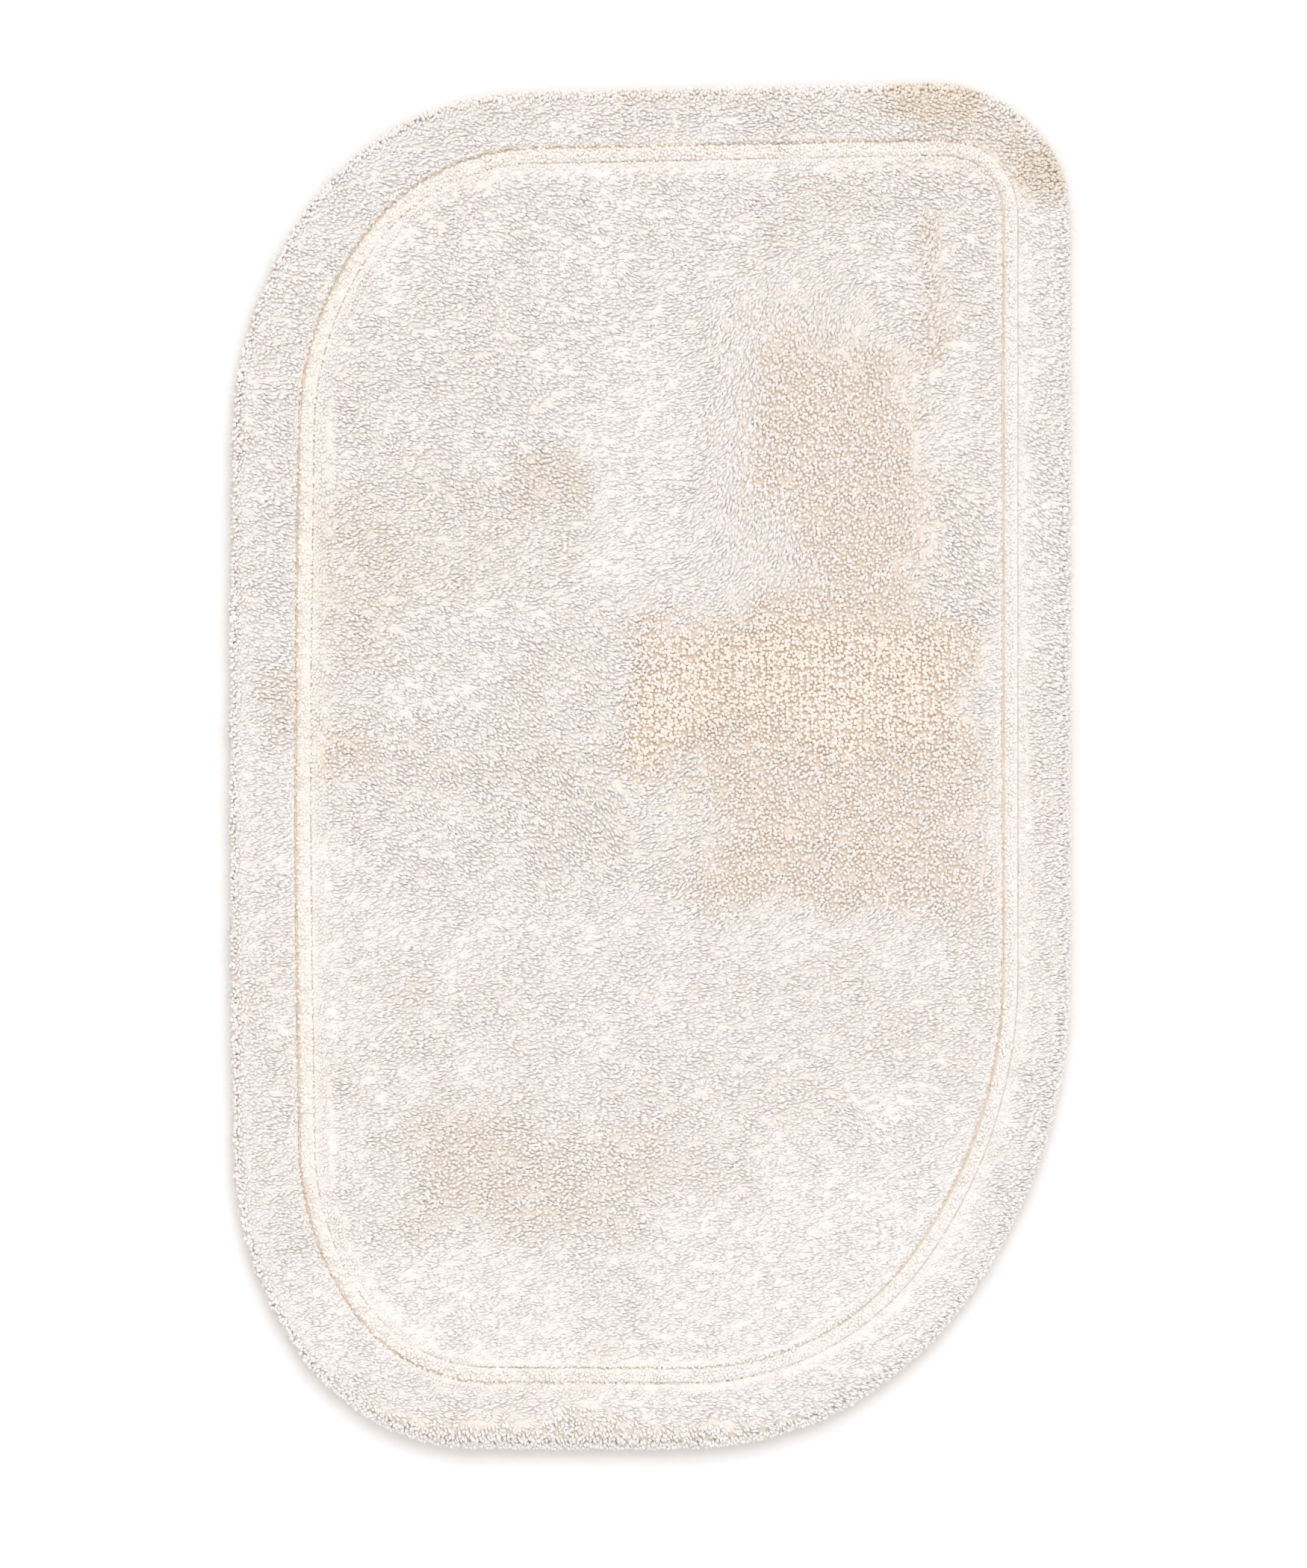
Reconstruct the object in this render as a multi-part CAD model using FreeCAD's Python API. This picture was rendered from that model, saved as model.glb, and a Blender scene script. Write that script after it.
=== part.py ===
"""Tufted bath mat, lying flat on the floor. Millimetres, +Z up, +Y towards the back edge.

The origin is on the floor, under the middle of the mat's box.
"""
import FreeCAD, Part
import math
import os

V = FreeCAD.Vector

# Overall size
mat_width = 620.0           # across the outline's corner points, as is the length
mat_length = 1000.0
pile_height = 21.5          # tufts, from the canvas to their tips

# Outline: each corner is cut across by (width, length) and rounded by two tangent arcs
front_left_cut = (100.0, 135.0)
front_right_cut = (155.0, 212.0)
back_right_cut = (60.0, 60.0)
back_left_cut = (118.0, 152.0)
side_bow = 5.0              # how far the left side swells between its corners
side_bow_reach = 150.0      # straight run that each end of the swell's arc takes up
back_drop = 9.0             # how far the back edge falls away at its left end

# Channel between the border and the panel
channel_inset = 47.0        # outline to the channel's outer wall
channel_width = 10.0
channel_shift = (5.0, 3.5)  # the channel's loop sits a little off centre
channel_pile_height = 8.0
channel_clearance = 0.4     # between the short rows and the channel's walls

# Rounding of the pile's edges
outer_round = 9.0
channel_round = 3.0
base_round = 2.5

# Thickness of each layer
canvas_thickness = 0.8
tape_thickness = 0.9
coat_thickness = 0.5
stitch_thickness = 0.7
label_thickness = 0.4

# Hem
canvas_inset = 3.0          # the tufts overhang the folded edge by this much
fold_width = 19.0
tape_inset = 4.0
tape_width = 23.0
seam_margin = 2.5           # middle of each row of thread, from the tape's edge
thread_width = 0.9
thread_thickness = 0.3
thread_clearance = 0.05     # round the thread in the furrow that it pulls in the tape
coat_clearance = 0.3        # between the tape's inner edge and the coat
stitch_clearance = 1.0      # between the fold's raw edge and the back stitches

# Back stitches
row_pitch = 4.76
stitch_width = 1.6
shortest_row = 12.0         # a row shorter than this has no room for a tuft

# Care label, caught by the inner seam on the left side
label_length = 50.0         # along the side
label_reach = 30.0          # from the tape towards the middle
label_from_back = 330.0     # back edge to the label's middle

# Levels above the floor. The thicker of the two stacks under the canvas, at the hem or at
# the label, stands on it.
hem_stack = tape_thickness + canvas_thickness
label_stack = label_thickness + coat_thickness + stitch_thickness
canvas_base = max(hem_stack, label_stack)
canvas_top = canvas_base + canvas_thickness
fold_base = canvas_base - canvas_thickness
tape_base = fold_base - tape_thickness
stitch_base = canvas_base - stitch_thickness
coat_base = stitch_base - coat_thickness

# Distances in from the outline
tape_inner_inset = tape_inset + tape_width
coat_inset = tape_inner_inset + coat_clearance
outer_seam_inset = tape_inset + seam_margin
inner_seam_inset = tape_inner_inset - seam_margin
panel_inset = channel_inset + channel_width

joined = 1e-6               # two arc ends nearer than this need no line between them


def corner_points():
    """Corners of the outline before rounding, anticlockwise, as (x, y, run).

    The front left corner of their box is at (0, 0). The run is how much of the straight on
    each side of the point its arc takes up.
    """
    left, right = 0.0, mat_width
    left_end = left + side_bow
    back_end = mat_length - back_drop

    def half(cut):
        return math.hypot(*cut) / 2

    return [
        (left_end + front_left_cut[0], 0.0, half(front_left_cut)),
        (right - front_right_cut[0], 0.0, half(front_right_cut)),
        (right, front_right_cut[1], half(front_right_cut)),
        (right, mat_length - back_right_cut[1], half(back_right_cut)),
        (right - back_right_cut[0], mat_length, half(back_right_cut)),
        (left_end + back_left_cut[0], back_end, half(back_left_cut)),
        (left_end, back_end - back_left_cut[1], half(back_left_cut)),
        (left, mat_length / 2, side_bow_reach),
        (left_end, front_left_cut[1], half(front_left_cut)),
    ]


def corner_arcs():
    """Arc that rounds each corner point, as (centre, radius, start, middle and end directions)."""
    points = corner_points()
    arcs = []
    for i, (x, y, run) in enumerate(points):
        corner = V(x, y, 0)
        back = V(*points[i - 1][:2], 0) - corner
        ahead = V(*points[(i + 1) % len(points)][:2], 0) - corner
        back.normalize()
        ahead.normalize()
        half_turn = (math.pi - back.getAngle(ahead)) / 2
        radius = run / math.tan(half_turn)
        inward = back + ahead
        inward.normalize()
        centre = corner + inward * (radius / math.cos(half_turn))
        start = (corner + back * run - centre) / radius
        end = (corner + ahead * run - centre) / radius
        arcs.append((centre, radius, start, inward * -1, end))
    return arcs


def traced_loop(inset, moved):
    """Closed wire that follows the outline at one distance inside it."""
    spans = [[centre + moved + direction * (radius - inset) for direction in directions]
             for centre, radius, *directions in corner_arcs()]
    edges = []
    for i, (start, middle, end) in enumerate(spans):
        edges.append(Part.Arc(start, middle, end).toShape())
        following = spans[(i + 1) % len(spans)][0]
        if end.distanceToPoint(following) > joined:
            edges.append(Part.LineSegment(end, following).toShape())
    return Part.Wire(edges)


# Middle of the finished outline, which the origin goes under
outline_middle = traced_loop(0.0, V(0, 0, 0)).BoundBox.Center


def loop_wire(inset, level, shift=(0.0, 0.0)):
    return traced_loop(inset, V(*shift, level) - outline_middle)


def slab(inset, base, thickness, shift=(0.0, 0.0)):
    """Plate whose edge is one loop."""
    return Part.Face(loop_wire(inset, base, shift)).extrude(V(0, 0, thickness))


def ring(outer_inset, inner_inset, base, thickness, outer_shift=(0.0, 0.0), inner_shift=(0.0, 0.0)):
    """Band between two loops."""
    outer = slab(outer_inset, base, thickness, outer_shift)
    return outer.cut(slab(inner_inset, base, thickness, inner_shift))


def edges_at(solid, level, side=None):
    """Edges that lie on one level. side "outer" or "inner" keeps one loop of a band."""
    flat = [e for e in solid.Edges
            if abs(e.BoundBox.ZMin - level) < joined and abs(e.BoundBox.ZMax - level) < joined]
    if side is None:
        return flat
    loops = sorted(Part.sortEdges(flat), key=lambda chain: Part.Wire(chain).BoundBox.XLength)
    return loops[-1] if side == "outer" else loops[0]


def make_border_pile():
    band = ring(0.0, channel_inset, canvas_top, pile_height, inner_shift=channel_shift)
    top = canvas_top + pile_height
    band = band.makeFillet(outer_round, edges_at(band, top, "outer"))
    band = band.makeFillet(channel_round, edges_at(band, top, "inner"))
    return band.makeFillet(base_round, edges_at(band, canvas_top, "outer"))


def make_channel_pile():
    return ring(channel_inset + channel_clearance, panel_inset - channel_clearance,
                canvas_top, channel_pile_height, channel_shift, channel_shift)


def make_panel_pile():
    panel = slab(panel_inset, canvas_top, pile_height, channel_shift)
    return panel.makeFillet(channel_round, edges_at(panel, canvas_top + pile_height))


def make_backing_canvas():
    """Cloth under the tufts, with its margin folded back beneath it."""
    cloth = slab(canvas_inset, canvas_base, canvas_thickness)
    fold = ring(canvas_inset, canvas_inset + fold_width, fold_base, canvas_thickness)
    return cloth.fuse(fold).removeSplitter()


def make_back_stitch_rows():
    """Yarn between one tuft and the next: a rib under each lengthwise row of tufts."""
    zone = slab(canvas_inset + fold_width + stitch_clearance, stitch_base, stitch_thickness)
    half_count = int(mat_width / 2 / row_pitch)
    ribs = []
    for row in range(-half_count, half_count + 1):
        rib = Part.makeBox(stitch_width, mat_length, stitch_thickness,
                           V(row * row_pitch - stitch_width / 2, -mat_length / 2, stitch_base))
        ribs += [s for s in rib.common(zone).Solids if s.BoundBox.YLength > shortest_row]
    return Part.makeCompound(ribs)


def make_grip_coat():
    return slab(coat_inset, coat_base, coat_thickness)


def seam_band(middle_inset, width):
    return ring(middle_inset - width / 2, middle_inset + width / 2, tape_base, thread_thickness)


def make_hem_tape():
    tape = ring(tape_inset, tape_inner_inset, tape_base, tape_thickness)
    furrow_width = thread_width + 2 * thread_clearance
    for inset in (outer_seam_inset, inner_seam_inset):
        tape = tape.cut(seam_band(inset, furrow_width))
    return tape


def make_outer_hem_thread():
    return seam_band(outer_seam_inset, thread_width)


def make_inner_hem_thread():
    return seam_band(inner_seam_inset, thread_width)


def make_care_label():
    """Tab that starts at the tape's inner edge and lies against the coat."""
    front = mat_length / 2 - label_from_back - label_length / 2
    strip = Part.makeBox(mat_width / 2, label_length, label_thickness,
                         V(-mat_width / 2, front, coat_base - label_thickness))
    clear = strip.common(slab(coat_inset, 0.0, coat_base))
    reach = Part.makeBox(label_reach, label_length, coat_base, V(clear.BoundBox.XMin, front, 0))
    return clear.common(reach)


makers = {
    "border_pile": make_border_pile,
    "channel_pile": make_channel_pile,
    "panel_pile": make_panel_pile,
    "backing_canvas": make_backing_canvas,
    "back_stitch_rows": make_back_stitch_rows,
    "grip_coat": make_grip_coat,
    "hem_tape": make_hem_tape,
    "outer_hem_thread": make_outer_hem_thread,
    "inner_hem_thread": make_inner_hem_thread,
    "care_label": make_care_label,
}

os.makedirs("parts", exist_ok=True)
for name, make in makers.items():
    shape = make()
    shape.exportStep(f"parts/{name}.step")
    box = shape.optimalBoundingBox(False, False)
    print(f"{name}: {len(shape.Solids)} solids, valid {shape.isValid()}, {shape.Volume / 1000:.1f} cm3")
    print(f"    x {box.XMin:.2f} to {box.XMax:.2f}, y {box.YMin:.2f} to {box.YMax:.2f}, "
          f"z {box.ZMin:.2f} to {box.ZMax:.2f}")
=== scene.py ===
import math
import bpy
import numpy as np
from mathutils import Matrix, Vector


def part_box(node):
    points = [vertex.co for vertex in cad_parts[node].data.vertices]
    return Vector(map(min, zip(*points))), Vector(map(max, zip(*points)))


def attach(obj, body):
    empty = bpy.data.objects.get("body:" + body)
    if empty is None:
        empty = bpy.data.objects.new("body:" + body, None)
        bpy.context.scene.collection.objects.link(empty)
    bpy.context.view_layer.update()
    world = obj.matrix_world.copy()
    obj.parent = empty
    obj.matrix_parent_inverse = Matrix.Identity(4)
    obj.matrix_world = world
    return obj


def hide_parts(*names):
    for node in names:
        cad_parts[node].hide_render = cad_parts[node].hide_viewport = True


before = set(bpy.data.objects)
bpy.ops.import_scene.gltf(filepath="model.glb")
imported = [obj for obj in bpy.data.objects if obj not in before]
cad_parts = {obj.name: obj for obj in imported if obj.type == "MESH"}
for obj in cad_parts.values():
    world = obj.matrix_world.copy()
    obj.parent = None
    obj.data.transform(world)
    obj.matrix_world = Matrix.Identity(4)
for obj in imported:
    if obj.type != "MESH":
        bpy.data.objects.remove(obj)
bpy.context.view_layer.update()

mm = 0.001

# Loops of the mat: its outline and the two walls of the channel, read from the CAD nodes
loopSettings = {
    "points": 1440,             # points round each loop
    "smoothing": 9,             # points averaged over, to take out the facets of the CAD mesh
    "sameLevel": 0.01 * mm,     # points this near in height lie on one face
    "wallClearance": 0.4 * mm,  # between the channel's short rows and its walls
}


def evenLoop(points, count):
    # equal steps along a closed polyline: place = interp(step * length / count)
    closed = np.vstack([points, points[:1]])
    run = np.r_[0, np.cumsum(np.linalg.norm(np.diff(closed, axis=0), axis=1))]
    steps = np.linspace(0, run[-1], count, endpoint=False)
    return np.stack([np.interp(steps, run, closed[:, k]) for k in (0, 1)], 1)


def loopNormals(loop):
    # outward normal of an anticlockwise loop: the tangent turned a quarter clockwise
    tangent = np.roll(loop, -1, 0) - np.roll(loop, 1, 0)
    tangent /= np.linalg.norm(tangent, axis=1)[:, None]
    return np.stack([tangent[:, 1], -tangent[:, 0]], 1)


def loopLength(loop):
    return np.linalg.norm(np.roll(loop, -1, 0) - loop, axis=1).sum()


def nodeLoop(name):
    # edge points of a flat CAD piece's lower face, in order round the middle and evenly spaced
    co = np.array([v.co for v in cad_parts[name].data.vertices])
    onFace = co[:, 2] - co[:, 2].min() < loopSettings["sameLevel"]
    edge = np.unique(np.round(co[onFace][:, :2], 6), axis=0)
    middle = edge.mean(0)
    edge = edge[np.argsort(np.arctan2(*(edge - middle).T[::-1]))]
    loop = evenLoop(edge, loopSettings["points"])
    reach = loopSettings["smoothing"] // 2
    loop = np.mean([np.roll(loop, k, 0) for k in range(-reach, reach + 1)], 0)
    return evenLoop(loop, loopSettings["points"])


def offsetLoop(loop, distance):
    # loop moved outwards by one distance along its normals
    return evenLoop(loop + loopNormals(loop) * distance, loopSettings["points"])


def alignedLoop(loop, other):
    # the same loop, starting at the point nearest to the start of the other one
    return np.roll(loop, -int(((loop - other[0]) ** 2).sum(1).argmin()), 0)


outline = offsetLoop(nodeLoop("grip_coat"), (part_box("border_pile")[1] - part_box("grip_coat")[1])[0])
panelLoop = nodeLoop("panel_pile")
channelWidth = (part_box("panel_pile")[0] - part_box("channel_pile")[0])[0] + loopSettings["wallClearance"]
channelLoop = offsetLoop(panelLoop, channelWidth)
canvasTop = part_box("backing_canvas")[1][2]
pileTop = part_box("panel_pile")[1][2]
pileHeight = pileTop - canvasTop


def nearest(points, loop):
    # distance inside the loop (negative outside it) and outward normal at the nearest point, in blocks
    normals = loopNormals(loop)
    inside, outward = np.empty(len(points)), np.empty((len(points), 2))
    for start in range(0, len(points), 4000):
        part = points[start:start + 4000]
        gap = ((part[:, None] - loop[None]) ** 2).sum(2)
        best = gap.argmin(1)
        outward[start:start + 4000] = normals[best]
        inside[start:start + 4000] = ((loop[best] - part) * normals[best]).sum(1)
    return inside, outward


def softNoise(points, size, seed):
    # smooth noise from -1 to 1: random heights on a square grid of one size, blended by 3t^2 - 2t^3
    rng = np.random.default_rng(seed)
    grid = rng.uniform(-1, 1, (256, 256))
    place = points / size + 100.0
    cell = np.floor(place).astype(int)
    t = place - cell
    t = t * t * (3 - 2 * t)
    i, j = cell[:, 0] % 255, cell[:, 1] % 255
    low = grid[i, j] * (1 - t[:, 0]) + grid[i + 1, j] * t[:, 0]
    high = grid[i, j + 1] * (1 - t[:, 0]) + grid[i + 1, j + 1] * t[:, 0]
    return low * (1 - t[:, 1]) + high * t[:, 1]


# How the pile lies. Angles are degrees anticlockwise from +X, sizes and places are millimetres.
layDirection = {
    "upper": -20.0,         # back half: tips point right and a little forwards
    "lower": 1.0,           # front half: tips point straight right
    "turnFrom": -100.0,     # between these two places along Y the direction changes
    "turnTo": 110.0,
    "wander": 10.0,         # slow changes of direction
    "wanderSize": 95.0,
    "clump": 15.0,          # neighbouring tufts that go together
    "clumpSizes": (13.0, 7.0),
    "single": 8.0,          # each tuft by itself
}

# Slow changes from place to place: the mean, then amount and size of a coarse and of a fine noise
variation = {
    "upright": (0.12, 0.10, 60.0, 0.10, 17.0),
    "warmthAndShading": (0.06, 0.07, 70.0, 0.07, 22.0),
    "patchEdge": (15.0, 46.0, 7.0, 13.0),   # how far the patches' edges wander, with no mean
}

reachOfPile = (1.2 * mm, 9.0 * mm)  # from root to cut end, standing and laid

# Brushed patches: middle x, y, half width, half length, edge softness, upright 0 to 1,
# direction, warmth (1 is the full warm tint, below 0 is whiter; partly tone that differs from place to place,
# partly painted shade where the pile stands up and painted light where it lies flat). None keeps what lies
# there.
brushed = [
    (-125, 151, 112, 34, 24, None, 0, 0.0),      # band of straight lay on the left
    (-115, 2, 84, 94, 50, None, -33, 0.0),
    (94, 240, 60, 125, 70, 0.25, 74, 0.04),      # brushed backwards, right of the middle
    (200, 162, 48, 50, 30, 0.25, -38, 0.05),
    (112, -48, 88, 50, 30, 0.40, 40, 0.12),
    (-30, -40, 16, 40, 14, 0.20, -60, 0.05),
    (167, -270, 24, 20, 16, None, -30, 0.0),
    (104, 58, 124, 57, 30, 0.88, 45, 0.30),      # upright block right of the middle
    (140, -50, 100, 58, 40, 0.62, 42, 0.16),     # its front part, brushed up to the right
    (138, 240, 56, 62, 26, 0.60, 96, 0.24),      # block behind it
    (160, 145, 42, 40, 22, 0.60, 92, 0.24),
    (150, 365, 95, 60, 36, None, None, 0.14),    # towards the squarest corner
    (206, 345, 8, 60, 8, 0.45, 50, 0.40),        # crease near it
    (-140, 165, 105, 52, 26, 0.18, None, 0.20),  # band on the left
    (-62, 206, 34, 20, 12, 0.35, None, 0.26),
    (-215, 130, 26, 62, 18, 0.25, None, 0.18),
    (-225, 18, 22, 18, 10, 0.45, None, 0.24),
    (-135, 8, 45, 12, 10, 0.30, None, 0.20),
    (-52, -20, 34, 50, 18, 0.30, None, 0.12),
    (-85, -300, 95, 42, 28, 0.40, None, 0.22),   # band across the front
    (-170, -250, 60, 28, 22, None, None, 0.18),
    (50, -312, 36, 40, 20, 0.30, None, 0.18),
    (135, -180, 72, 62, 30, None, None, 0.12),
    (207, 484, 30, 13, 12, 0.60, None, 1.25),    # dark patches on the border's corner
    (283, 440, 15, 26, 12, 0.55, None, 1.15),
    (245, 470, 60, 34, 26, 0.30, None, 0.25),
    (70, 488, 100, 14, 18, 0.25, None, 0.20),
    (-100, 478, 120, 20, 18, None, None, 0.14),
    (-272, 45, 22, 28, 12, 0.35, None, 0.20),
    (-270, -175, 18, 60, 14, None, None, 0.12),
    (278, 10, 20, 60, 18, None, None, 0.15),
    (-15, 215, 30, 105, 24, 0.0, None, -0.30),   # brushed flat and whiter
    (16, -45, 30, 30, 34, 0.20, 20, -0.06),
    (120, -370, 125, 70, 36, 0.0, None, -0.25),
    (-150, -400, 110, 40, 28, 0.0, None, -0.12),
    (60, -120, 110, 20, 26, 0.1, None, -0.08),
    (-20, -487, 200, 12, 8, 0.40, -80, 0.05),    # front border, where rows part and show
]


def varied(place, settings, seed):
    # mean + coarse amount * noise + fine amount * noise
    mean, coarse, coarseSize, fine, fineSize = settings
    return mean + coarse * softNoise(place, coarseSize, seed) + fine * softNoise(place, fineSize, seed + 1)


def layOfPile(points, scatter=4.0):
    # base direction by place plus wander, then each patch takes over by its own soft weight:
    # weight = product over both axes of smoothstep((half - |offset|) / (1.5 * softness) + 0.5)
    place = points / mm
    blend = np.clip((place[:, 1] - layDirection["turnFrom"])
                    / (layDirection["turnTo"] - layDirection["turnFrom"]), 0, 1)
    angle = layDirection["lower"] + (layDirection["upper"] - layDirection["lower"]) * blend
    angle = np.radians(angle + layDirection["wander"] * softNoise(place, layDirection["wanderSize"], 3))
    aim = np.stack([np.cos(angle), np.sin(angle)], 1)
    upright = varied(place, variation["upright"], 5)
    warmthAndShading = varied(place, variation["warmthAndShading"], 7)
    coarse, coarseSize, fine, fineSize = variation["patchEdge"]
    bent = (place + coarse * np.stack([softNoise(place, coarseSize, seed) for seed in (11, 12)], 1)
            + fine * np.stack([softNoise(place, fineSize, seed) for seed in (13, 14)], 1)
            + scatter * np.random.default_rng(15).normal(0, 1, place.shape))
    for x, y, halfX, halfY, soft, up, turn, warm in brushed:
        across = np.clip((halfX - np.abs(bent[:, 0] - x)) / (1.5 * soft) + 0.5, 0, 1)
        along = np.clip((halfY - np.abs(bent[:, 1] - y)) / (1.5 * soft) + 0.5, 0, 1)
        weight = (across * across * (3 - 2 * across)) * (along * along * (3 - 2 * along))
        if up is not None:
            upright = upright * (1 - weight) + up * weight
        if turn is not None:
            turn = math.radians(turn)
            goal = np.array([math.cos(turn), math.sin(turn)])
            aim = aim * (1 - weight[:, None]) + goal * weight[:, None]
        warmthAndShading = warmthAndShading + weight * warm
    aim /= np.maximum(np.linalg.norm(aim, axis=1), 1e-6)[:, None]
    return aim, np.clip(upright, 0, 1), np.clip(warmthAndShading, -0.5, 1.2)


# One tuft: plies of loose cotton that share a root hole in the canvas. A ply is a closed four-sided
# spindle: it rises from a point at the canvas through its rings to a point at the cut end.
ply = {
    "perTuft": 3,
    "sides": 4,
    "rings": (0.60, 0.90),      # how far up the ply each ring lies
    "width": (1.38, 1.18),      # mm from the middle to a corner of each ring in a laid ply
    "uprightWidth": 1.65,       # how much wider an upright ply is
    "flatness": 0.33,           # thickness of a laid ply as a share of its width
    "spread": 1.05,             # mm from the tuft's middle to each ply
    "uneven": 0.22,             # how much its corners differ
    "splay": 0.5,               # mm that the cut ends open out
    "tipLength": 3.4,           # mm that a laid ply's point goes beyond its last ring
    "uprightTip": 0.7,          # mm, the same for an upright ply, which is cut blunt
    "bend": 1.8,                # how soon a laid ply turns over
}


def skinBetween(low, high, sides):
    # two triangles to each side between two rings, whose first points are low and high
    k = np.arange(sides)
    following = (k + 1) % sides
    return [np.stack([low + k, low + following, high + following], 1),
            np.stack([low + k, high + following, high + k], 1)]


def plyTriangles():
    # point 0 is the root, then the points of each ring, then the cut end
    sides, rings = ply["sides"], len(ply["rings"])
    k = np.arange(sides)
    following = (k + 1) % sides
    faces = [np.stack([np.zeros(sides, int), 1 + following, 1 + k], 1)]
    for r in range(rings - 1):
        faces += skinBetween(1 + r * sides, 1 + (r + 1) * sides, sides)
    last, tip = 1 + (rings - 1) * sides, 1 + rings * sides
    faces.append(np.stack([last + k, last + following, np.full(sides, tip)], 1))
    return np.concatenate(faces)


def plyCorners():
    # round-and-along coordinates, 0 to 1, of every triangle corner of one ply
    sides, rings = ply["sides"], len(ply["rings"])
    k = np.arange(sides)
    heights = (0.03,) + tuple(0.10 + 0.80 * h ** 1.5 for h in ply["rings"])
    a, b, half = k / sides, (k + 1) / sides, (k + 0.5) / sides
    flat = [np.stack([half, np.full(sides, heights[0]), b, np.full(sides, heights[1]),
                      a, np.full(sides, heights[1])], 1)]
    for r in range(1, rings):
        low, high = np.full(sides, heights[r]), np.full(sides, heights[r + 1])
        flat.append(np.stack([a, low, b, low, b, high], 1))
        flat.append(np.stack([a, low, b, high, a, high], 1))
    top = np.full(sides, heights[-1])
    flat.append(np.stack([a, top, b, top, half, np.full(sides, 0.98)], 1))
    return np.concatenate(flat).reshape(-1, 2)


def meshObject(name, points, faces, corners=None, fibre=None, values=None, smooth=True):
    # faces is an array of triangles or quads; corners and fibre are UVs per face corner, and
    # values are attributes per point
    mesh = bpy.data.meshes.new(name)
    sides = faces.shape[1]
    mesh.vertices.add(len(points))
    mesh.vertices.foreach_set("co", points.astype(np.float32).ravel())
    mesh.loops.add(faces.size)
    mesh.loops.foreach_set("vertex_index", faces.astype(np.int32).ravel())
    mesh.polygons.add(len(faces))
    mesh.polygons.foreach_set("loop_start", np.arange(0, faces.size, sides, dtype=np.int32))
    mesh.polygons.foreach_set("use_smooth", np.full(len(faces), smooth))
    mesh.update(calc_edges=True)
    for layer, uv in (("OFBake", corners), ("Fibre", fibre)):
        if uv is not None:
            mesh.uv_layers.new(name=layer).data.foreach_set("uv", uv.astype(np.float32).ravel())
    for key, value in (values or {}).items():
        mesh.attributes.new(key, "FLOAT", "POINT").data.foreach_set("value", value.astype(np.float32))
    mesh.validate()
    piece = bpy.data.objects.new(name, mesh)
    bpy.context.scene.collection.objects.link(piece)
    return piece


def spindles(name, roots, lean, height, width, upright, exposed, values, rng):
    # spine of a ply: sideways = reach * t^(1 + laid), up = height * (1 - (1 - t)^(1 + bend * laid))
    # ring point = spine + width * cos(angle) * side + thickness * sin(angle) * top
    count, sides, rings = len(roots), ply["sides"], len(ply["rings"])
    laid = (1 - upright)[:, None]
    reach = np.maximum(np.linalg.norm(lean, axis=1), 1e-6)
    aim = lean / reach[:, None]
    t = np.array(ply["rings"])[None]
    bend = 1 + ply["bend"] * laid
    sideways = reach[:, None] * t ** (1 + laid)
    up = height[:, None] * (1 - (1 - t) ** bend)
    slopeSide = reach[:, None] * (1 + laid) * t ** laid
    slopeUp = height[:, None] * bend * np.maximum(1 - t, 0.05) ** (bend - 1)
    slope = np.hypot(slopeSide, slopeUp)
    spine = np.concatenate([aim[:, None] * sideways[..., None], up[..., None]], 2)
    along = np.concatenate([aim[:, None] * (slopeSide / slope)[..., None], (slopeUp / slope)[..., None]], 2)
    side = np.broadcast_to(np.stack([aim[:, 1], -aim[:, 0], np.zeros(count)], 1)[:, None], along.shape)
    top = np.cross(side, along)
    angle = np.pi / 4 + 2 * np.pi * np.arange(sides)[None] / sides
    angle = angle + rng.uniform(-0.25, 0.25, (count, 1)) + upright[:, None] * rng.uniform(0, 2, (count, 1))
    wide = np.array(ply["width"])[None] * mm * width[:, None]
    uneven = rng.uniform(1 - ply["uneven"], 1 + 0.6 * ply["uneven"], (count, sides))[:, None]
    wide = wide * (1 + (ply["uprightWidth"] - 1) * (1 - laid))
    thick = wide * (ply["flatness"] * laid + (1 - laid))
    ringPoints = (spine[:, :, None]
                  + (wide[:, :, None] * uneven * np.cos(angle)[:, None])[..., None] * side[:, :, None]
                  + (thick[:, :, None] * uneven * np.sin(angle)[:, None])[..., None] * top[:, :, None])
    ringPoints[:, -1] += (rng.uniform(-0.5, 0.5, (count, sides)) * mm)[..., None] * along[:, -1:, :]
    push = ply["tipLength"] * laid[:, 0] + ply["uprightTip"] * upright
    tip = spine[:, -1] + along[:, -1] * (push * width * mm)[:, None]
    points = np.concatenate([np.zeros((count, 1, 3)), ringPoints.reshape(count, -1, 3), tip[:, None]], 1)
    points += roots[:, None]
    perPly = points.shape[1]
    faces = (plyTriangles()[None] + perPly * np.arange(count)[:, None, None]).reshape(-1, 3)
    local = plyCorners()
    fibre = local[None] * np.array([0.006, 0.024]) + rng.uniform(0, 5.0, (count, 1, 2))
    spread = {key: np.repeat(value, perPly) for key, value in values.items()}
    # how far each point lies below the ply's cut end, as a share of ten millimetres, which sets the
    # painted shade of its colour; light reaches the outer side as well, so depth counts less there
    below = (height[:, None] - up) / (10 * mm) * (1 - edges["openSide"] * exposed[:, None])
    below = np.column_stack([np.ones(count), np.repeat(below, sides, axis=1), np.zeros(count)])
    spread["depth"] = np.clip(below, 0, 1).ravel()
    # how far each point lies on the ply's underside, 0 to 1, for its painted shade, less as the ply stands up
    under = np.tile((1 - np.sin(angle)) / 2, (1, rings)) * (0.35 + 0.65 * laid)
    spread["under"] = np.column_stack([np.ones(count), under, 0.15 * laid]).ravel()
    return meshObject(name, points.reshape(-1, 3), faces, cellMap(local, count), fibre.reshape(-1, 2), spread)


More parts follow.
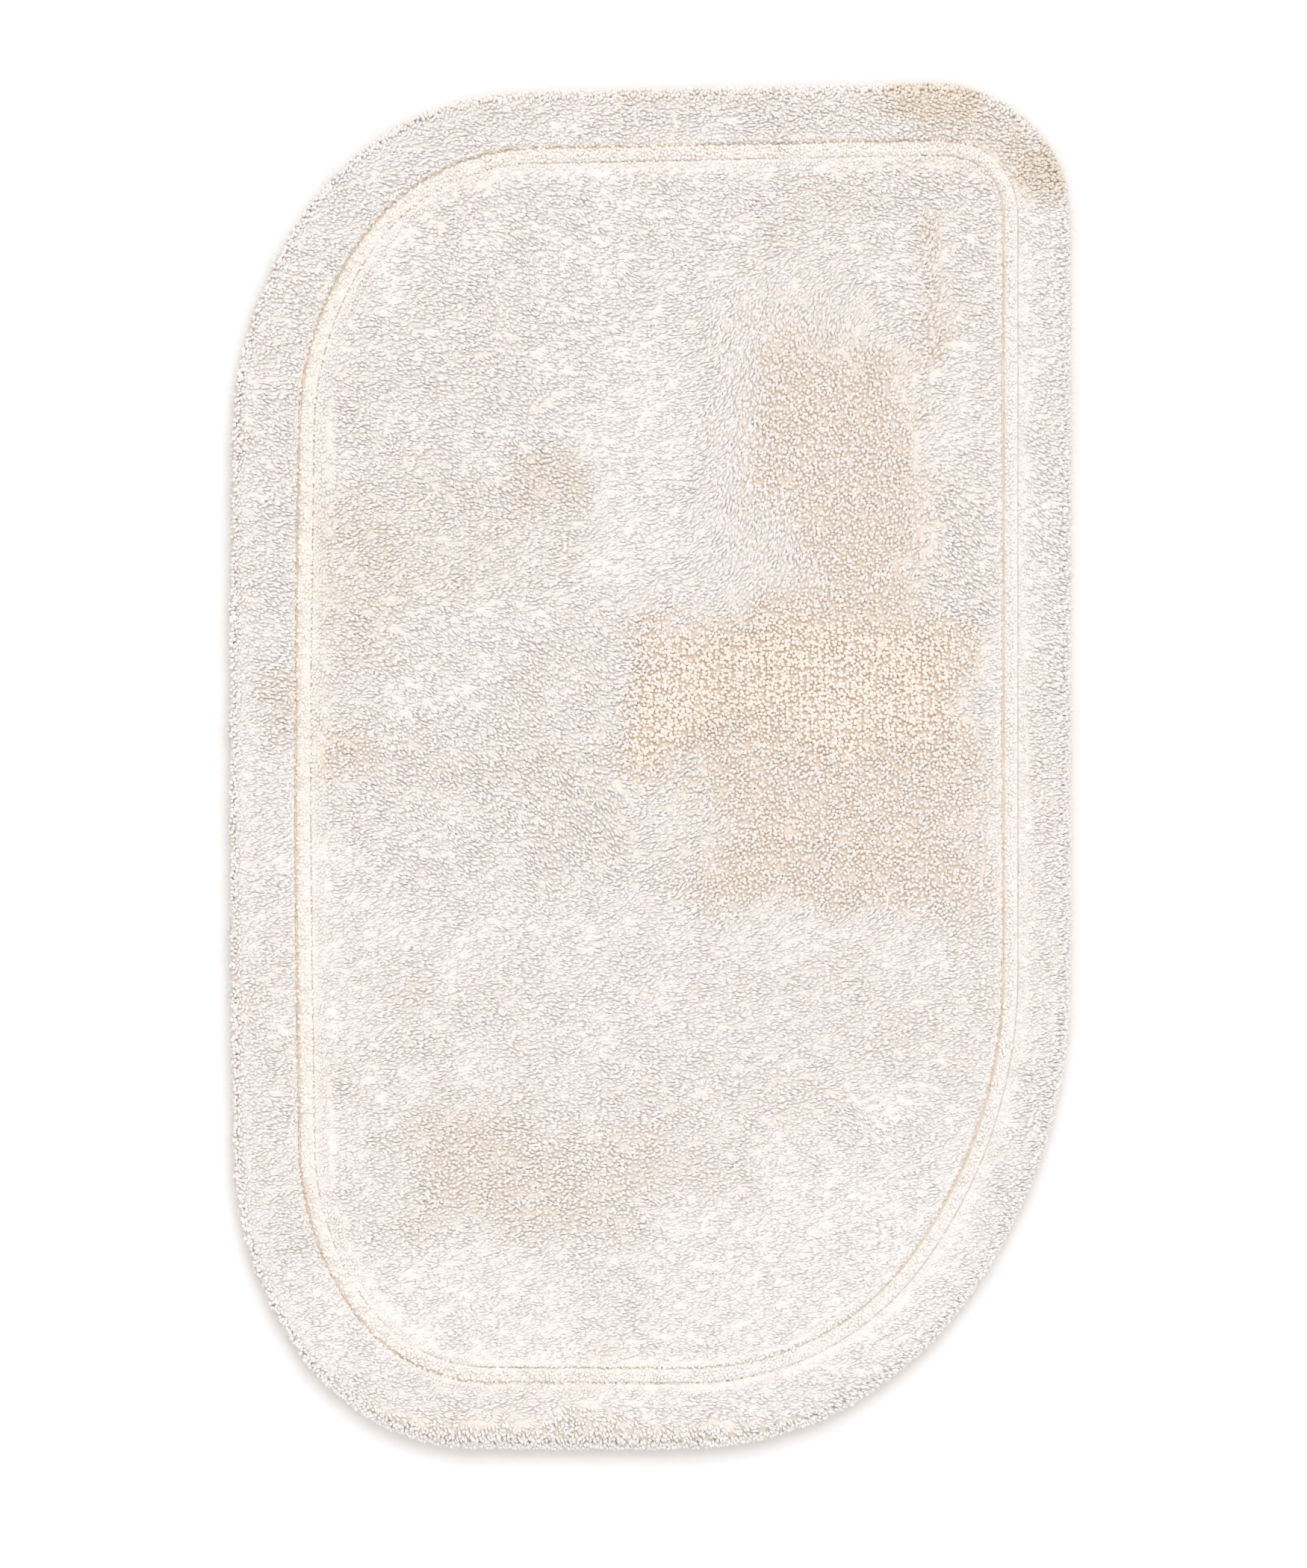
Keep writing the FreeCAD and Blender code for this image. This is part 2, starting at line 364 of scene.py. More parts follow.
def cellMap(local, count):
    # every copy of a small shape gets its own square cell of the map, with a margin round it
    columns = math.ceil(math.sqrt(count))
    cell = np.stack([np.arange(count) % columns, np.arange(count) // columns], 1)[:, None]
    return ((cell + 0.08 + 0.84 * local[None]) / columns).reshape(-1, 2)


def uprightOf(lean):
    # 1 for a ply that stands straight, 0 for one whose cut end lies a full reach from its root
    short, long = reachOfPile
    return 1 - np.clip((np.linalg.norm(lean, axis=1) - short) / (long - short), 0, 1)


def tuftPiece(name, tufts, rng):
    # every tuft becomes its plies: roots close together, cut ends opened out round the tuft's lean
    each = ply["perTuft"]
    rep = {key: np.repeat(value, each, axis=0) for key, value in tufts.items()}
    count = len(rep["roots"])
    turn = (np.tile(np.arange(each) * 2 * np.pi / each, len(tufts["roots"]))
            + np.repeat(rng.uniform(0, 2 * np.pi, len(tufts["roots"])), each) + rng.normal(0, 0.25, count))
    around = np.stack([np.cos(turn), np.sin(turn)], 1)
    shift = around * (ply["spread"] * mm * rep["girth"])[:, None]
    roots = np.column_stack([rep["roots"] + shift, np.full(count, canvasTop)])
    swing = rng.normal(0, math.radians(layDirection["single"]), count)
    lean = rep["lean"]
    lean = np.stack([lean[:, 0] * np.cos(swing) - lean[:, 1] * np.sin(swing),
                     lean[:, 0] * np.sin(swing) + lean[:, 1] * np.cos(swing)], 1)
    lean = lean * rng.uniform(0.8, 1.15, count)[:, None] + around * (ply["splay"] * mm)
    height = rep["height"] * rng.uniform(0.975, 1.01, count)
    width = rep["girth"] * rng.uniform(0.85, 1.15, count)
    upright = uprightOf(lean)
    values = {"warmthAndShading": rep["warmthAndShading"], "tone": rng.uniform(0, 1, count)}
    return spindles(name, roots, lean, height, width, upright, rep["exposed"], values, rng)


panel = {
    "rowPitch": 4.76 * mm,      # rows run lengthwise, over the back stitches
    "tuftPitch": 4.12 * mm,
    "edgeRows": (1.6 * mm, 4.4 * mm),  # rows that follow the channel's wall, measured from it
    "jitter": 0.75 * mm,
    "sections": 6,              # the panel is split into bands of rows, each one mesh
}
border = {
    "rows": 12,
    "tuftPitch": 4.2 * mm,
    "outerGap": 4.4 * mm,       # first roots from the outline
    "innerGap": 1.8 * mm,       # last roots from the channel's wall
    "crowding": 1.22,           # above 1 the rows stand closer together near the outline
    "wallRow": (2.9 * mm, 3.1 * mm),    # gap and tuft pitch of the short outermost row
    "wallHeight": (0.35, 0.625),        # its height, as a share of the pile's
    "jitter": 0.45 * mm,
    "parts": ("left", "middle", "right"),   # the border is split from left to right, each one mesh
}
channel = {
    "rows": 4,
    "tuftPitch": 3.6 * mm,
    "panelHeight": 0.95,        # of the pile's height, beside the panel
    "borderHeight": 0.89,       # and beside the border
    "slit": 1.0 * mm,           # left open on the side its short rows lean away from
    "girth": 0.95,
    "turnover": 0.1,            # how far the lay must point outwards before the slit changes sides
    "rise": 0.03,               # how much higher its outer side is where the slit lies along the panel
    "alongLay": (0.5, 2.5),     # mm that its tufts lean along the lay
    "outwards": 2.2,            # mm that they lean towards the border
    "upright": 0.4,
    "whiter": 0.15,
    "jitter": 0.3,              # mm
}
edges = {
    "outerRound": 9.0 * mm,     # radius of the border's outer edge
    "outerReach": 4.6 * mm,     # how far the outermost tufts fall outwards
    "outerBand": 11.0 * mm,     # width of the band that falls outwards
    "outerFacing": (0.6, 0.4),  # share of the reach that is always there, and that follows the lay
    "outerOver": -1.5 * mm,     # how far cut ends may pass the outline
    "openSide": 0.72,           # share of the depth, and of the painted shade it sets, that does not count on the outer side
    "kept": (0.08, 0.55),       # share of the lay kept at an edge it points to, and points away from
    "tipRoom": 0.5 * mm,        # added to a cut end's distance from the outline
    "channelRoom": 0.45,        # the same beside the channel, as a share of the edge's radius
    "channelFacing": (0.65, 0.35),
    "channelStart": 1.8 * mm,   # the band beside the channel starts this far from its wall
    # beside the channel: radius of the edge, reach over the channel, width of the band that leans,
    # and how far cut ends may pass its wall where the lay points at it and where it does not
    "panel": (7.0 * mm, 3.6 * mm, 11.0 * mm, -0.6 * mm, 3.8 * mm),
    "border": (2.0 * mm, 2.6 * mm, 7.0 * mm, -0.2 * mm, 1.6 * mm),
}


def leanOf(points, aim, upright, rng):
    # reach along the lay, less the more upright the tuft stands, turned a little clump by clump
    place = points / mm
    coarse, fine = (softNoise(place, size, seed) for size, seed in zip(layDirection["clumpSizes"], (21, 22)))
    turn = np.radians(layDirection["clump"] * (coarse + 0.8 * fine)
                      + layDirection["single"] * rng.normal(0, 1, len(points)))
    turned = np.stack([aim[:, 0] * np.cos(turn) - aim[:, 1] * np.sin(turn),
                       aim[:, 0] * np.sin(turn) + aim[:, 1] * np.cos(turn)], 1)
    reach = (reachOfPile[1] * (1 - upright) + reachOfPile[0] * upright)
    reach = reach * (1 + 0.22 * softNoise(place, 9.0, 23) + rng.uniform(-0.15, 0.15, len(points)))
    return turned * reach[:, None]


def roundedTop(height, edge, radius):
    # height of a quarter-round edge: full height - radius + sqrt(radius^2 - (radius - edge)^2)
    edge = np.clip(edge, 0, radius)
    rise = np.sqrt(np.maximum(radius ** 2 - (radius - edge) ** 2, 0))
    return height - radius + rise


def rolling(points, upright):
    # height of the pile above the canvas: laid pile is a little lower, and all of it rolls gently
    place = points / mm
    share = 0.955 + 0.022 * softNoise(place, 26.0, 31) + 0.012 * softNoise(place, 11.0, 32)
    return pileHeight * share * (0.93 + 0.07 * upright)


def pileHeights(points, upright, rng):
    return rolling(points, upright) * (1 + rng.uniform(-0.015, 0.015, len(points)))


def heldBack(lean, upright, gap, towards, over):
    # shortens the lean of tufts whose cut ends would pass an edge by more than "over"
    tip = (lean * towards).sum(1) + (ply["tipLength"] * (1 - upright)) * mm
    excess = np.maximum(tip - gap - over, 0)
    return lean - excess[:, None] * towards


def fallingLean(lean, facing, near, towards, reach, shares):
    # near an edge tufts keep only a part of their lay, and fall towards the edge instead
    keep = edges["kept"][0] + (edges["kept"][1] - edges["kept"][0]) * np.clip(-facing, 0, 1)
    return lean * (1 - (1 - keep) * near) + towards * reach * (shares[0] + shares[1] * facing) * near


def shapedTufts(roots, gapToEdge, outwardOfEdge, gapToChannel, towardsChannel, side, rng):
    # lay, then the edges' own fall, then the rounded heights under the cut ends
    aim, upright, warmthAndShading = layOfPile(roots)
    lean = leanOf(roots, aim, upright, rng)
    height = pileHeights(roots, upright, rng)
    exposed = np.zeros(len(roots))
    if gapToEdge is not None:
        fall = np.clip(1 - (gapToEdge - border["outerGap"]) / edges["outerBand"], 0, 1)[:, None] ** 1.2
        facing = (aim * outwardOfEdge).sum(1)[:, None]
        lean = fallingLean(lean, facing, fall, outwardOfEdge, edges["outerReach"], edges["outerFacing"])
        lean = heldBack(lean, upright, gapToEdge, outwardOfEdge, edges["outerOver"])
        tipGap = gapToEdge - (lean * outwardOfEdge).sum(1)
        height = roundedTop(height, tipGap + edges["tipRoom"], edges["outerRound"])
        upright = upright * (1 - 0.6 * fall[:, 0])
        exposed = fall[:, 0]
    radius, reach, band, overAt, overAway = edges[side]
    near = np.clip(1 - (gapToChannel - edges["channelStart"]) / band, 0, 1)[:, None]
    facing = (aim * towardsChannel).sum(1)[:, None]
    lean = fallingLean(lean, facing, near, towardsChannel, reach, edges["channelFacing"])
    over = overAway + (overAt - overAway) * np.clip(facing[:, 0], 0, 1)
    lean = heldBack(lean, upright, gapToChannel, towardsChannel, over)
    tipGap = gapToChannel - (lean * towardsChannel).sum(1)
    height = roundedTop(height, tipGap + edges["channelRoom"] * radius, radius)
    return {"roots": roots, "lean": lean, "height": height, "exposed": exposed, "warmthAndShading": warmthAndShading,
            "girth": rng.uniform(0.92, 1.08, len(roots))}


def bandPieces(tufts, names, rng):
    # bands of tufts from left to right, each one mesh
    order = np.argsort(tufts["roots"][:, 0], kind="stable")
    return [tuftPiece(name, {key: value[band] for key, value in tufts.items()}, rng)
            for name, band in zip(names, np.array_split(order, len(names)))]


def makePanel():
    rng = np.random.default_rng(101)
    low, high = panelLoop.min(0), panelLoop.max(0)
    columns = np.arange(math.ceil(low[0] / panel["rowPitch"]), math.floor(high[0] / panel["rowPitch"]) + 1)
    places = np.arange(low[1], high[1], panel["tuftPitch"])
    x, y = np.meshgrid(columns * panel["rowPitch"], places, indexing="ij")
    y = y + (columns[:, None] % 2) * panel["tuftPitch"] / 2
    roots = np.stack([x.ravel(), y.ravel()], 1)
    roots += rng.normal(0, 1, roots.shape) * panel["jitter"] * (0.7, 1.0)
    roots = roots[nearest(roots, panelLoop)[0] > panel["edgeRows"][-1] + 0.6 * panel["rowPitch"]]
    for gap in panel["edgeRows"]:
        wall = offsetLoop(panelLoop, -gap)
        roots = np.vstack([roots, evenLoop(wall, int(loopLength(wall) / (0.8 * panel["tuftPitch"])))])
    inside, outward = nearest(roots, panelLoop)
    tufts = shapedTufts(roots, None, None, inside, outward, "panel", rng)
    print("panel tufts:", len(roots))
    return bandPieces(tufts, [f"panel_tufts_{k + 1}" for k in range(panel["sections"])], rng)


def makeBorder():
    rng = np.random.default_rng(202)
    outer, inner = offsetLoop(outline, -border["outerGap"]), offsetLoop(channelLoop, border["innerGap"])
    inner = alignedLoop(inner, outer)
    rows = []
    for k in range(border["rows"]):
        # a row is a share of the way from the outermost loop to the innermost
        share = (k / (border["rows"] - 1)) ** border["crowding"]
        loop = outer * (1 - share) + inner * share
        rows.append(evenLoop(np.roll(loop, 7 * k, 0), int(loopLength(loop) / border["tuftPitch"])))
    gap, pitch = border["wallRow"]
    foot = offsetLoop(outline, -gap)
    foot = evenLoop(foot, int(loopLength(foot) / pitch))
    rows.append(foot)
    roots = np.concatenate(rows)
    roots += rng.normal(0, 1, roots.shape) * border["jitter"]
    inside, outward = nearest(roots, outline)
    beyond, fromChannel = nearest(roots, channelLoop)
    tufts = shapedTufts(roots, inside, outward, -beyond, -fromChannel, "border", rng)
    tufts["height"][-len(foot):] = pileHeight * rng.uniform(*border["wallHeight"], len(foot))
    print("border tufts:", len(roots))
    return bandPieces(tufts, [f"border_tufts_{part}" for part in border["parts"]], rng)


def slitShare(points, outward):
    # 0 where the slit lies along the border, 1 where it lies along the panel:
    # smoothstep of the part of the lay that points across the channel towards the border
    share = np.clip(0.5 + 1.2 * ((layOfPile(points, 0.0)[0] * outward).sum(1) - channel["turnover"]), 0, 1)
    return share * share * (3 - 2 * share)


def channelLevel(share, swap, high, low):
    # height across the channel: straight from high to low, towards the side where the slit is
    across = share * (1 - swap) + (1 - share) * swap
    return high + (low - high) * across + channel["rise"] * swap * share


def makeChannel():
    rng = np.random.default_rng(303)
    shares = (np.arange(channel["rows"]) + 0.1) / channel["rows"]
    roots, outward, share = [], [], []
    for part in shares:
        row = evenLoop(panelLoop, int(loopLength(panelLoop) / channel["tuftPitch"]))
        normals = loopNormals(row)
        slit = slitShare(row, normals)[:, None] * channel["slit"]
        roots.append(row + normals * (slit + (channelWidth - channel["slit"]) * part))
        outward.append(normals)
        share.append(np.full(len(row), part))
    roots, outward, share = np.concatenate(roots), np.concatenate(outward), np.concatenate(share)
    width = channelWidth - channel["slit"]
    roots = roots + rng.normal(0, channel["jitter"], roots.shape) * mm
    count = len(roots)
    aim, _, warmthAndShading = layOfPile(roots)
    swap = slitShare(roots, outward)
    height = channelLevel(share, swap, channel["panelHeight"], channel["borderHeight"])
    lean = (aim * rng.uniform(*channel["alongLay"], count)[:, None] + outward * channel["outwards"]) * mm
    lean = heldBack(lean, np.full(count, channel["upright"]), width * (1 - share), outward, 0.0)
    tufts = {
        "roots": roots, "lean": lean, "height": pileHeight * height * rng.uniform(0.95, 1.05, count),
        "exposed": np.zeros(count), "warmthAndShading": warmthAndShading - channel["whiter"],
        "girth": np.full(count, channel["girth"]),
    }
    print("channel tufts:", count)
    return tuftPiece("channel_tufts", tufts, rng)


# Loose fibres that stand out of the pile, most of them round the outer edge
flyaway = {
    "edge": 4600,               # how many stand along the outline,
    "slit": 1000,               # along the channel
    "field": 2400,              # and over the rest
    "length": (5.0, 12.0),      # mm
    "radius": 0.11,             # mm at the root; the tip is a point
    "beyond": 3.2,              # mm that the edge's fibres reach past the outline, at the most
}


def makeFlyaways():
    # a hair bends over: place = root + run * t + drop * t^2, in three rings and a point
    rng = np.random.default_rng(404)
    edge = outline[rng.integers(0, len(outline), flyaway["edge"])]
    slit = channelLoop[rng.integers(0, len(channelLoop), flyaway["slit"])]
    low, high = outline.min(0), outline.max(0)
    field = rng.uniform(low, high, (2 * flyaway["field"], 2))
    field = field[nearest(field, outline)[0] > 12 * mm][:flyaway["field"]]
    outward = np.concatenate([nearest(edge, outline)[1], nearest(slit, channelLoop)[1],
                              np.zeros((len(field), 2))])
    back = np.concatenate([rng.uniform(3.5, 7.0, len(edge)), rng.uniform(-3, 3, len(slit)),
                           np.zeros(len(field))]) * mm
    root = np.concatenate([edge, slit, field]) - outward * back[:, None]
    count = len(root)
    kind = np.repeat([0, 1, 2], [len(edge), len(slit), len(field)])
    aim, upright, warmthAndShading = layOfPile(root)
    level = rolling(root, upright)
    drop = np.where(kind == 0, rng.uniform(0.15, 0.98, count) ** 0.6, 0.97)
    height = canvasTop + level * drop - 0.4 * mm
    length = rng.uniform(*flyaway["length"], count) * mm
    turn = rng.normal(0, 0.7, count)
    side = np.where((kind == 0)[:, None], outward * 0.8 + 0.5 * aim, aim)
    side = np.stack([side[:, 0] * np.cos(turn) - side[:, 1] * np.sin(turn),
                     side[:, 0] * np.sin(turn) + side[:, 1] * np.cos(turn)], 1)
    side /= np.maximum(np.linalg.norm(side, axis=1), 0.3)[:, None]
    reach = (side * outward).sum(1) * length * 0.9 - back
    excess = np.where(kind == 0, np.maximum(reach - flyaway["beyond"] * mm, 0), 0)
    run = np.column_stack([side * length[:, None] * 0.9 - outward * excess[:, None],
                           rng.uniform(0.1, 0.55, count) * length * np.where(kind == 0, 0.5, 1.0)])
    bend = np.column_stack([rng.normal(0, 0.15, (count, 2)), rng.uniform(-0.5, -0.1, count)])
    bend = bend * length[:, None]
    steps = np.array([0.0, 0.4, 0.75, 1.0])
    spine = (np.column_stack([root, height])[:, None] + run[:, None] * steps[None, :, None]
             + bend[:, None] * steps[None, :, None] ** 2)
    spine[..., 2] = np.clip(spine[..., 2], 0.5 * mm, canvasTop + pileHeight + 0.4 * mm)
    angle = 2 * np.pi * np.arange(3) / 3
    size = flyaway["radius"] * mm * np.array([1.0, 0.8, 0.5])
    flat = np.stack([-side[:, 1], side[:, 0], np.zeros(count)], 1)
    ring = (spine[:, :3, None] + flat[:, None, None] * (size[:, None] * np.cos(angle))[None, :, :, None]
            + np.array([0, 0, 1.0]) * (size[:, None] * np.sin(angle))[None, :, :, None])
    points = np.concatenate([ring.reshape(count, 9, 3), spine[:, 3:]], 1)
    k = np.arange(3)
    following = (k + 1) % 3
    faces = [np.array([[0, 2, 1]])]
    for low in (0, 3):
        faces += skinBetween(low, low + 3, 3)
    faces.append(np.stack([6 + k, 6 + following, np.full(3, 9)], 1))
    faces = np.concatenate(faces)
    spot = np.array([(x, y) for y in (0.1, 0.4, 0.7) for x in (0.1, 0.5, 0.9)] + [(0.5, 0.95)])
    every = (faces[None] + 10 * np.arange(count)[:, None, None]).reshape(-1, 3)
    zeros = np.zeros(10 * count)
    values = {"depth": zeros, "under": zeros, "warmthAndShading": np.repeat(0.5 * warmthAndShading, 10),
              "tone": np.repeat(rng.uniform(0.3, 1, count), 10)}
    print("loose fibres:", count)
    cells = cellMap(spot[faces.ravel()], count)
    return meshObject("loose_fibres", points.reshape(-1, 3), every, cells, cells, values)


panelPieces = makePanel()
borderPieces = makeBorder()
channelPiece = makeChannel()
loosePiece = makeFlyaways()


def depthBelow(points):
    # depth of a body's points below the cut ends over them, as a share of ten millimetres, for their painted
    # shade
    place = points[:, :2]
    top = canvasTop + rolling(place, layOfPile(place, 0.0)[1])
    inside = nearest(place, outline)[0] - pileBody["openFrom"]
    counted = 1 - edges["openSide"] * np.clip(1 - inside / edges["outerBand"], 0, 1)
    return {"depth": np.clip((top - points[:, 2]) / (10 * mm) * counted, 0, 1)}


def closedRings(name, rings):
    # quads between rings that stay in step, and a fan to a pole at each end
    n = len(rings[0])
    points = np.concatenate(rings)
    k = np.arange(n)
    following = (k + 1) % n
    faces = []
    for r in range(len(rings) - 1):
        faces += skinBetween(r * n, (r + 1) * n, n)
    first, last = len(points), len(points) + 1
    points = np.vstack([points, rings[0].mean(0), rings[-1].mean(0)])
    faces.append(np.stack([following, k, np.full(n, first)], 1))
    top = (len(rings) - 1) * n
    faces.append(np.stack([top + k, top + following, np.full(n, last)], 1))
    return meshObject(name, points, np.concatenate(faces), values=depthBelow(points))


def bandRings(name, rings):
    # a closed tube of rings: the last one joins the first
    n, count = len(rings[0]), len(rings)
    points = np.concatenate(rings)
    faces = []
    for r in range(count):
        faces += skinBetween(r * n, ((r + 1) % count) * n, n)
    return meshObject(name, points, np.concatenate(faces), values=depthBelow(points))


# Dense lower part of the pile, which closes the gaps between tufts. Shares are of the pile's height.
pileBody = {
    "points": 480,              # round each loop
    "panelRings": 70,
    "laid": 0.6 * mm,           # how far it lies below the cut ends where the pile lies flat
    "upright": 3.7 * mm,        # and where it stands up, so that the gaps run deeper
    "foot": 0.25,               # top of the straight part of the walls
    "outerInset": 3.4 * mm,     # from the outline to the foot of the body
    "outerRound": 10.0 * mm,
    "openFrom": 3.0 * mm,       # inside the outline, from where the outer side counts as less open and gets less painted shade
    "wallInset": 0.9 * mm,      # the same beside the channel
    "panelRound": 2.2 * mm,
    "borderRound": 1.6 * mm,
    "channelPanel": 0.87,       # top of the short pile's body beside the panel and the border
    "channelBorder": 0.82,
    "channelInset": 0.8 * mm,   # width of its slit
    "channelFloor": 0.77,       # bottom of the slit
    "channelUnder": 1.1 * mm,   # how far it runs in under the pile on both sides
}


def bodyTop(points):
    # the pile's own rolling height, less a depth between laid and upright
    upright = layOfPile(points, 0.0)[1]
    return rolling(points, upright) - pileBody["laid"] - (pileBody["upright"] - pileBody["laid"]) * upright


def bodyRing(points, insideWall, radius):
    # a ring of the body's top at one distance inside its wall
    top = roundedTop(bodyTop(points), np.full(len(points), insideWall), radius)
    return np.column_stack([points, canvasTop + top])


def footRings(points):
    # the straight part of a wall, from the canvas up
    return [np.column_stack([points, np.full(len(points), canvasTop + share * pileHeight)])
            for share in (0.001, pileBody["foot"])]


def edgeSteps(radius):
    # distances across a rounded edge, closer together where it is steep
    return radius * np.array([0.02, 0.12, 0.3, 0.6, 1.0])


def makePanelBody():
    wall = offsetLoop(evenLoop(panelLoop, pileBody["points"]), -pileBody["wallInset"])
    wall = evenLoop(wall, pileBody["points"])
    rings = footRings(wall)
    for step in edgeSteps(pileBody["panelRound"]):
        rings.append(bodyRing(wall - loopNormals(wall) * step, step, pileBody["panelRound"]))
    last = wall - loopNormals(wall) * pileBody["panelRound"]
    middle = last.mean(0)
    for share in np.linspace(0, 1, pileBody["panelRings"] + 1)[1:-1]:
        rings.append(bodyRing(last * (1 - share) + middle * share, 1.0, 0.001 * mm))
    return closedRings("panel_pile_body", rings)


def makeBorderBody():
    count = pileBody["points"]
    outer = evenLoop(offsetLoop(outline, -pileBody["outerInset"]), count)
    wall = alignedLoop(evenLoop(offsetLoop(channelLoop, pileBody["wallInset"]), count), outer)
    rings = footRings(outer)
    for step in edgeSteps(pileBody["outerRound"]):
        rings.append(bodyRing(outer - loopNormals(outer) * step, step, pileBody["outerRound"]))
    innerSide = []
    for step in edgeSteps(pileBody["borderRound"]):
        innerSide.append(bodyRing(wall + loopNormals(wall) * step, step, pileBody["borderRound"]))
    first, last = rings[-1][:, :2], innerSide[-1][:, :2]
    for share in np.linspace(0, 1, 8)[1:-1]:
        rings.append(bodyRing(first * (1 - share) + last * share, 1.0, 0.001 * mm))
    return bandRings("border_pile_body", rings + innerSide[::-1] + footRings(wall)[::-1])


def makeChannelBody():
    wall = evenLoop(panelLoop, pileBody["points"])
    outward = loopNormals(wall)
    share = slitShare(wall, outward)[:, None]
    under, slit = pileBody["channelUnder"], pileBody["channelInset"]
    inner = slit * share - under * (1 - share)
    outer = channelWidth - slit * (1 - share) + under * share
    low, floor = 0.001, pileBody["channelFloor"]
    levels = (pileBody["channelPanel"], pileBody["channelBorder"])
    top = [channelLevel(part, share[:, 0], *levels) for part in (0.0, 1.0)]
    rings = []
    for reach, level in ((channelWidth + under, low), (channelWidth + under, floor - 0.02), (outer, floor),
                         (outer - 0.1 * mm, top[1] - 0.06), (outer - 0.6 * mm, top[1]),
                         (inner * 0.4 + outer * 0.6, 0.4 * top[0] + 0.6 * top[1]),
                         (inner * 0.7 + outer * 0.3, 0.7 * top[0] + 0.3 * top[1]),
                         (inner + 0.6 * mm, top[0]), (inner + 0.1 * mm, top[0] - 0.06),
                         (inner, floor), (-under, floor - 0.02), (-under, low)):
        height = canvasTop + level * pileHeight * np.ones(len(wall))
        rings.append(np.column_stack([wall + outward * reach, height]))
    return bandRings("channel_pile_body", rings)


panelBody = makePanelBody()
borderBody = makeBorderBody()
channelBody = makeChannelBody()
print("bodies made")


# Underside: a backing cloth with its edge folded under, tape over the fold, two rows of stitches
# and a sewn label
underside = {
    "foldWidth": 18.0 * mm,     # of the folded margin, from the tape's outer edge inwards
    "tapeWidth": 23.0 * mm,
    "tapeDip": 0.09 * mm,       # how far the seams draw the tape in
    "tapePucker": 0.05 * mm,    # and how much it ripples between them
    "puckerLength": 8.0 * mm,
    "seams": (2.5 * mm, 20.5 * mm),     # from the tape's outer edge to each row of stitches
    "stitchPitch": 3.6 * mm,
    "stitchLength": 3.1 * mm,
    "stitchWidth": 0.46 * mm,   # from its middle line to its side
    "stitchHeight": 0.15 * mm,  # half its thickness
    "labelCorner": 2.0 * mm,
    "labelSeam": 2.2 * mm,
    "labelWave": 0.05 * mm,     # how far its lower side ripples
    "labelWaveLength": 17.0 * mm,
}


def insetOf(name):
    # how far a piece lies inside the mat's outline, from their boxes
    return (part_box("border_pile")[1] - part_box(name)[1])[0]


def makeCloth():
    # profile as (inset, height), from the middle of the lower side out to the fold, back along the
    # folded edge, down, out again, round the edge and in over the top
    wall = evenLoop(outline, pileBody["points"])
    normals = loopNormals(wall)
    low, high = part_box("backing_canvas")[0][2], canvasTop
    middle, thick, start = (low + high) / 2, (high - low) / 2, insetOf("backing_canvas")
    gap, nose = 0.02 * mm, 0.5 * thick
    foldEnd = insetOf("hem_tape") + underside["foldWidth"]
    turns = [(foldEnd + 9 * mm, middle + gap), (foldEnd, middle + gap), (start + thick, middle + gap),
             (start + thick, middle - gap), (foldEnd, middle - gap),
             (foldEnd + 0.3 * mm, middle - 0.4 * thick), (foldEnd, low), (start + nose, low),
             (start + 0.3 * nose, low + 0.5 * thick), (start, middle),
             (start + 0.3 * nose, high - 0.5 * thick), (start + nose, high), (foldEnd, high),
             (foldEnd + 9 * mm, high)]
    rings = [np.column_stack([wall - normals * inset, np.full(len(wall), height)]) for inset, height in turns]
    centre = rings[0][:, :2].mean(0)
    inner = []
    for share in (0.8, 0.6, 0.4, 0.2):
        loop = rings[0][:, :2] * (1 - share) + centre * share
        inner.append((np.column_stack([loop, np.full(len(loop), middle + gap)]),
                      np.column_stack([loop, np.full(len(loop), high)])))
    rings = [lower for lower, upper in inner] + rings + [upper for lower, upper in inner[::-1]]
    return closedRings("backing_cloth", rings)


def makeTape():
    # bottom dips at each seam, and ripples between: pucker * sin(2 pi run / length) * sin(pi across)
    wall, normals = outline, loopNormals(outline)
    start, top = insetOf("hem_tape"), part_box("hem_tape")[1][2]
    wide = underside["tapeWidth"]
    turns = int(loopLength(wall) / underside["puckerLength"])
    ripple = np.sin(2 * np.pi * turns * np.arange(len(wall)) / len(wall))
    profile = [(0.0, 0.15 * mm), (0.0, top - 0.15 * mm), (0.3 * mm, top), (wide - 0.3 * mm, top),
               (wide, top - 0.15 * mm), (wide, 0.15 * mm)]
    for across in np.linspace(wide - 0.4 * mm, 0.4 * mm, 15):
        dip = sum(math.exp(-((across - seam) / (0.9 * mm)) ** 2) for seam in underside["seams"])
        profile.append((across, 0.06 * mm + underside["tapeDip"] * dip))
    rings = []
    for k, (across, height) in enumerate(profile):
        rise = underside["tapePucker"] * (0.5 + 0.5 * ripple) * math.sin(math.pi * across / wide) * (k > 5)
        rings.append(np.column_stack([wall - normals * (start + across), height + rise]))
    return bandRings("hem_tape_band", rings)


